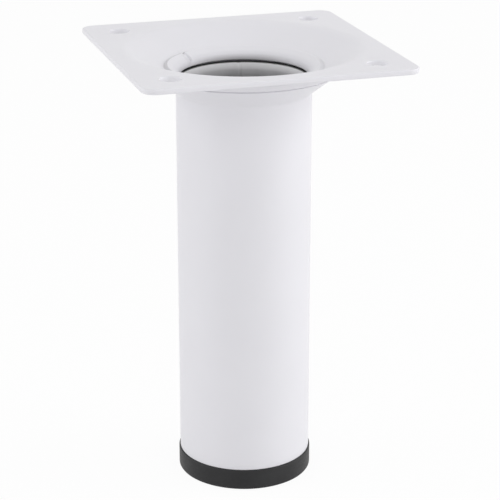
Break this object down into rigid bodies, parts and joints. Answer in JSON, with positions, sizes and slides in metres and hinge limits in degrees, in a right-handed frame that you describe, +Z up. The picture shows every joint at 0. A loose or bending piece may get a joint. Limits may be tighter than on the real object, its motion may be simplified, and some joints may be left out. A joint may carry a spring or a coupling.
{
  "type": "furniture leg",
  "caption": "Short round furniture leg: a flared white steel tube welded under a dished square screw-on plate, with a black push-in plastic foot.",
  "frame": {"origin": "middle of the foot's base, on the floor", "axes": "+Z up along the tube to the mounting plate, X and Y along the plate's sides"},
  "size_m": [0.06, 0.06, 0.1],
  "materials": {
    "white_powder_coat": "satin white powder coat on sheet steel, bare steel inside the tube",
    "black_plastic": "matte moulded plastic, charcoal black"
  },
  "bodies": {
    "root": {"mounting_plate": "white_powder_coat", "leg_tube": "white_powder_coat", "foot_cap": "black_plastic"}
  },
  "joints": []
}
